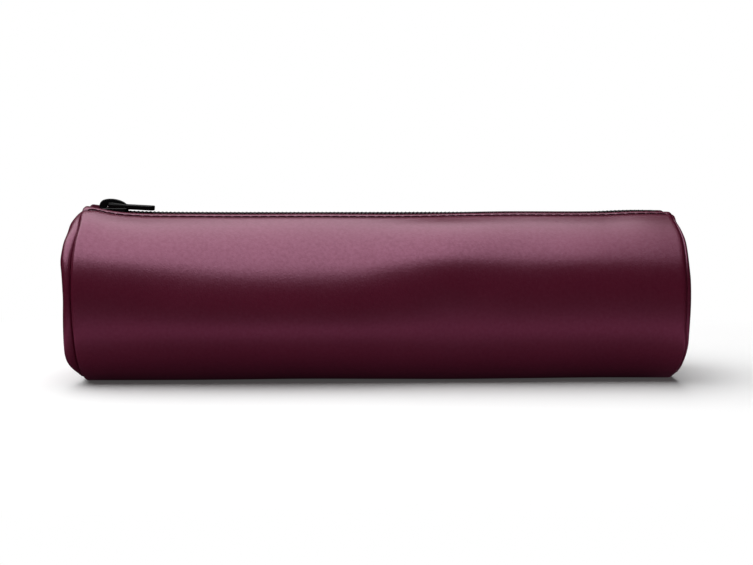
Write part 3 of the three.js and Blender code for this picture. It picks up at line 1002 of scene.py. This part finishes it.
def arch(left, right, height):
    """Points of the bridge's arch, which is highest towards the shoulders."""
    crown = left + 0.375 * (right - left)
    fall = [(right, 0), (right, 0.55 * height), (left + 0.7 * (right - left), height), (crown, height)]
    rise = [(crown, height), (left + 0.125 * (right - left), height), (left, 0.75 * height), (left, 0)]
    halves = [interpolate_bezier(*[Vector((*point, 0)) for point in half], 10) for half in (fall, rise)]
    return [(point.x, point.y) for point in halves[0][:-1] + halves[1]]


def make_bridge(foot):
    side = arch(-BRIDGE_HALF, BRIDGE_HALF, BRIDGE_HEIGHT)
    side += [(-BRIDGE_HALF, -PLATE / 2), (BRIDGE_HALF, -PLATE / 2)]
    eye = arch(BRIDGE_HEEL - BRIDGE_HALF, BRIDGE_HALF - BRIDGE_BAR, BRIDGE_HEIGHT - BRIDGE_BAR)
    bm = cast_eye(side, eye, BRIDGE_WIDTH, 0.4 * MM)
    upright = Matrix.Translation((0, 0, foot)) @ Matrix.Rotation(math.pi / 2, 4, "X")
    bmesh.ops.transform(bm, matrix=upright, verts=bm.verts)
    return bm


# %% The slider
WEDGE = [(-5.0, -0.8), (-3.6, -0.8), (-2.2, -0.25), (-2.2, 0.25), (-3.6, 0.8), (-5.0, 0.8)]
RAIL_STATIONS = [(-3.9 + 1.05 * i) * MM for i in range(9)]


def make_slider():
    plate_top = slider_high[2] - BRIDGE_HEIGHT
    roof = plate_top - PLATE
    floor = slider_low[2] + PLATE
    sunk = PLATE / 2
    plan = slider_outline()
    blocks = [
        cast_block(plan, roof, plate_top),
        cast_block(plan, slider_low[2], floor),
        cast_block([(x * MM, y * MM) for x, y in WEDGE], floor - sunk, roof + sunk, 0.1 * MM),
        make_bridge(plate_top),
    ]
    for sign in (-1, 1):
        inner = [(x, sign * channel_half(x)) for x in RAIL_STATIONS]
        outer = [(x, sign * (channel_half(x) + FLANGE - 0.05 * MM)) for x in RAIL_STATIONS]
        blocks.append(cast_block(inner + outer[::-1], coil_low[2], roof + sunk, 0.15 * MM))
    join_castings("slider", blocks, Matrix.Translation((SLIDER_X, 0, 0)), "slider", "slider_body")


make_slider()

# %% [markdown]
# ### The top stops
# Beyond the slider each coil ends in a small clamp, pressed round the edge of the tape so that the
# slider can't run off. The clamps sit on the sewn-in end of the tape.

# %% Top stops
def make_top_stop(half):
    low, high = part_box(half + "_top_stop")
    corners = [(low[0], low[1]), (high[0], low[1]), (high[0], high[1]), (low[0], high[1])]
    block = cast_block(corners, low[2], high[2], 0.35 * MM)
    piece = new_piece(half + "_end_clamp", block, black_metal)
    piece.data.set_sharp_from_angle(angle=math.radians(50))
    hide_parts(half + "_top_stop")
    fold_with_chain(piece)


for half in ("front", "rear"):
    make_top_stop(half)

# %% [markdown]
# ## The pull tab
# The tab is a flat casting with a long eye. A round bar at its root passes under the bridge, the two
# arms of the eye run past the bridge, and beyond it they join in the grip. The arms are deepest at
# the bar, where the pull is strongest. A filled outline with a hole gives the flat shape, an
# extrusion its thickness, and the whole tab is then turned down a little about its bar, because it
# droops on the closed chain.

# %% The pull tab
TAB_THICKNESS = 1.1 * MM
TAB_GRIP = 0.55 * MM
TAB_REACH = 15.3 * MM
TAB_HALF = 2.7 * MM
TAB_TIP_HALF = 2.3 * MM
TAB_EYE_HALF = 1.15 * MM
TAB_EYE_END = 6.5 * MM
TAB_CHEEK = 0.9 * MM
TIP_ROUND = 1.2 * MM
ROOT_ROUND = 0.4 * MM
EYE_ROUND = 0.5 * MM
GRIP_START = 7.1 * MM
TAB_DROOP = math.radians(3)


def both_sides(upper):
    """A closed outline from its upper half."""
    return [(x, -y) for x, y in upper] + upper[::-1]


def tab_cheek(inner):
    """The arm of the eye on one side of the bridge, from its inner face outwards."""
    deep, flat, end = TAB_CHEEK, TAB_THICKNESS / 2, TAB_EYE_END - 0.5 * MM
    upper = [(-0.3 * MM, 0.6 * deep), (0, deep), (1.6 * MM, deep), (end, flat)]
    bm = cast_block(both_sides(upper), inner, inner + TAB_HALF - TAB_EYE_HALF - 0.1 * MM, 0.15 * MM)
    bmesh.ops.transform(bm, matrix=Matrix.Rotation(math.pi / 2, 4, "X"), verts=bm.verts)
    return bm


def make_tab():
    tip = bend((TAB_REACH - TIP_ROUND, TAB_TIP_HALF - TIP_ROUND), TIP_ROUND, 90, 0, 6)
    root = bend((0, TAB_HALF - ROOT_ROUND), ROOT_ROUND, 180, 90, 3)
    eye_corner = bend((TAB_EYE_END - EYE_ROUND, TAB_EYE_HALF - EYE_ROUND), EYE_ROUND, 90, 0, 4)
    outline = both_sides(root + [(TAB_EYE_END, TAB_HALF)] + tip)
    eye = both_sides([(0.4 * MM, TAB_EYE_HALF)] + eye_corner)
    grip = both_sides([(GRIP_START, TAB_TIP_HALF)] + tip)
    bar = bmesh.new()
    bmesh.ops.create_cone(
        bar,
        cap_ends=True,
        segments=20,
        radius1=TAB_THICKNESS / 2,
        radius2=TAB_THICKNESS / 2,
        depth=2 * TAB_HALF - 0.4 * MM,
        matrix=Matrix.Rotation(math.pi / 2, 4, "X"),
    )
    blocks = [
        cast_eye(outline, eye, TAB_THICKNESS, 0.25 * MM),
        cast_block(grip, -TAB_THICKNESS / 2 - TAB_GRIP, 0, 0.3 * MM),
        tab_cheek(TAB_EYE_HALF + 0.05 * MM),
        tab_cheek(0.05 * MM - TAB_HALF),
        bar,
    ]
    place = Matrix.Translation(places["tab_swing"]) @ Matrix.Rotation(TAB_DROOP, 4, "Y")
    join_castings("pull_tab_casting", blocks, place, "tab", "pull_tab")


make_tab()

# %% [markdown]
# ## The floor
# The camera sees a plain white floor with a soft shadow under the case. An evenly white floor would
# wash out the lower wall, which is dark and has one narrow sheen. So every ray but the camera's meets
# a ring of light close round the case instead, and rays that mirror in the leather see it tinted pink.

# %% The floor's finish
RING_LIT = [(0.38, 0.1), (0.6, 0.7), (0.74, 1.0), (0.84, 0.15), (1.0, 0.0)]
LIT_TINT = (1, 1, 1)
LIT_STRENGTH = 1.6
RING_MIRRORED = [(0.46, 0.0), (0.62, 0.3), (0.74, 1.0), (0.83, 0.15), (1.0, 0.0)]
MIRRORED_TINT = (1, 0.36, 0.64)
MIRRORED_STRENGTH = 0.5
RING_STRAIGHT = 0.09
RING_OUTSIDE = 0.2
SHADOW_INSIDE = 0.03
SHADOW_OUTSIDE = 0.17


def ring_of_light(tree, near, stops, tint, strength):
    """A glow with (place, level) stops, from far off at 0 to under the case at 1."""
    levels = add_node(tree, "ValToRGB", {"Fac": near})
    levels.color_ramp.interpolation = "EASE"
    for at, level in stops:
        stop = levels.color_ramp.elements.new(at) if at < 1 else levels.color_ramp.elements[-1]
        stop.color = (*[level * share for share in tint], 1)
    glow = add_node(tree, "Emission", {"Color": levels.outputs["Color"], "Strength": strength})
    return glow.outputs["Emission"]


def make_floor_finish():
    """White to the camera. From the floor, only a bright ring close round the case lights it."""
    finish, tree, shader = new_finish("white_floor", Roughness=1.0, Specular_IOR_Level=0.0)
    shader.inputs["Base Color"].default_value = (0.95, 0.95, 0.95, 1)
    place = add_node(tree, "TexCoord").outputs["Object"]
    split = add_node(tree, "SeparateXYZ", {"Vector": place})
    ray = add_node(tree, "LightPath")
    size = add_node(tree, "Math", {0: split.outputs["X"]}, operation="ABSOLUTE")
    beyond = add_node(
        tree,
        "MapRange",
        {"Value": size.outputs[0], "From Min": RING_STRAIGHT, "From Max": RING_STRAIGHT + 1},
    )
    flat = add_node(tree, "CombineXYZ", {"X": beyond.outputs["Result"], "Y": split.outputs["Y"]})
    length = add_node(tree, "VectorMath", {0: flat.outputs["Vector"]}, operation="LENGTH")
    away = length.outputs["Value"]
    nearness = add_node(tree, "MapRange", {"Value": away, "From Min": RING_OUTSIDE, "From Max": 0.0})
    near = nearness.outputs["Result"]
    bounce = add_node(
        tree,
        "MixShader",
        {
            "Fac": ray.outputs["Is Glossy Ray"],
            1: ring_of_light(tree, near, RING_LIT, LIT_TINT, LIT_STRENGTH),
            2: ring_of_light(tree, near, RING_MIRRORED, MIRRORED_TINT, MIRRORED_STRENGTH),
        },
    )
    glow = add_node(tree, "Emission", {"Color": (1, 1, 1, 1), "Strength": 1.0})
    far = add_node(
        tree,
        "MapRange",
        {"Value": away, "From Min": SHADOW_INSIDE, "From Max": SHADOW_OUTSIDE, "To Min": 0.05},
    )
    pale = add_node(
        tree,
        "MixShader",
        {"Fac": far.outputs["Result"], 1: shader.outputs["BSDF"], 2: glow.outputs["Emission"]},
    )
    mixed = add_node(
        tree,
        "MixShader",
        {
            "Fac": ray.outputs["Is Camera Ray"],
            1: bounce.outputs["Shader"],
            2: pale.outputs["Shader"],
        },
    )
    tree.links.new(mixed.outputs["Shader"], tree.nodes["Material Output"].inputs["Surface"])
    return finish


# %% The floor
SWEEP_FRONT = -2.5
SWEEP_BACK = 1.6
SWEEP_ROUND = 0.5
SWEEP_TOP = 2.2
SWEEP_WIDTH = 8


def make_floor():
    """A white floor that sweeps up into a backdrop."""
    bm = bmesh.new()
    line = [(SWEEP_FRONT, 0.0), (SWEEP_BACK - SWEEP_ROUND, 0.0)]
    line += [
        (
            SWEEP_BACK - SWEEP_ROUND + SWEEP_ROUND * math.sin(math.radians(turn)),
            SWEEP_ROUND - SWEEP_ROUND * math.cos(math.radians(turn)),
        )
        for turn in range(10, 91, 10)
    ]
    line.append((SWEEP_BACK, SWEEP_TOP))
    chain = [bm.verts.new((-SWEEP_WIDTH / 2, y, z)) for y, z in line]
    edges = [bm.edges.new(pair) for pair in zip(chain, chain[1:])]
    swept = bmesh.ops.extrude_edge_only(bm, edges=edges)["geom"]
    bmesh.ops.translate(bm, vec=(SWEEP_WIDTH, 0, 0), verts=verts_of(swept))
    mesh = bpy.data.meshes.new("floor")
    bm.to_mesh(mesh)
    bm.free()
    mesh.shade_smooth()
    mesh.materials.append(make_floor_finish())
    floor = bpy.data.objects.new("floor", mesh)
    bpy.context.collection.objects.link(floor)


make_floor()

# %% [markdown]
# ## The light
# One very large soft light hangs overhead and reaches far to the left. The upper third of the leather
# shows it as a broad satin sheen, while the front wall reflects a dim room and stays dark.

# %% The light and the room
LAMP_PLACE = (-0.475, -0.12, 1.0)
LAMP_AIM = (-0.475, -0.12, 0)
LAMP_SIZE = (1.65, 1.86)
LAMP_WATTS = 25.5
ROOM_LEVEL = 0.015


def make_lamp(name, place, aim, size, watts):
    """A rectangular area light that looks at a point."""
    lamp = bpy.data.lights.new(name, "AREA")
    lamp.shape = "RECTANGLE"
    lamp.size, lamp.size_y = size
    lamp.energy = watts
    holder = bpy.data.objects.new(name, lamp)
    holder.location = place
    holder.rotation_euler = (Vector(aim) - Vector(place)).to_track_quat("-Z", "Y").to_euler()
    bpy.context.collection.objects.link(holder)


make_lamp("overhead_softbox", LAMP_PLACE, LAMP_AIM, LAMP_SIZE, LAMP_WATTS)

world = bpy.data.worlds.new("dim_room")
bpy.context.scene.world = world
world.use_nodes = True
room = world.node_tree
seen = add_node(room, "LightPath").outputs["Is Camera Ray"]
backdrop = room.nodes["Background"]
backdrop.inputs["Color"].default_value = (1, 1, 1, 1)
level = add_node(room, "MapRange", {"Value": seen, "To Min": ROOM_LEVEL, "To Max": 1.0})
room.links.new(level.outputs["Result"], backdrop.inputs["Strength"])
bpy.context.scene.view_settings.view_transform = "Standard"

# %% [markdown]
# ## The camera
# It stands in front of the case, a little to the left of the middle and a little above its top.

# %% Camera
CAMERA_DISTANCE = 0.440
CAMERA_TURN = math.radians(-1.5)
CAMERA_HEIGHT = 0.079
CAMERA_AIM = (0.0005, 0, 0.0333)

camera = bpy.data.objects.new("camera", bpy.data.cameras.new("camera"))
camera.data.lens = 60.0
camera.data.sensor_width = 36
camera.location = (
    CAMERA_DISTANCE * math.sin(CAMERA_TURN),
    -CAMERA_DISTANCE * math.cos(CAMERA_TURN),
    CAMERA_HEIGHT,
)
camera.rotation_euler = (Vector(CAMERA_AIM) - camera.location).to_track_quat("-Z", "Y").to_euler()
bpy.context.collection.objects.link(camera)
bpy.context.scene.camera = camera

# %% [markdown]
# ## The last steps
# The bottom stop keeps its CAD solid and only gets the black enamel.

# %% The bottom stop's finish
for place in frame["nodes"]["bottom_stop"].material_slots:
    place.material = black_metal
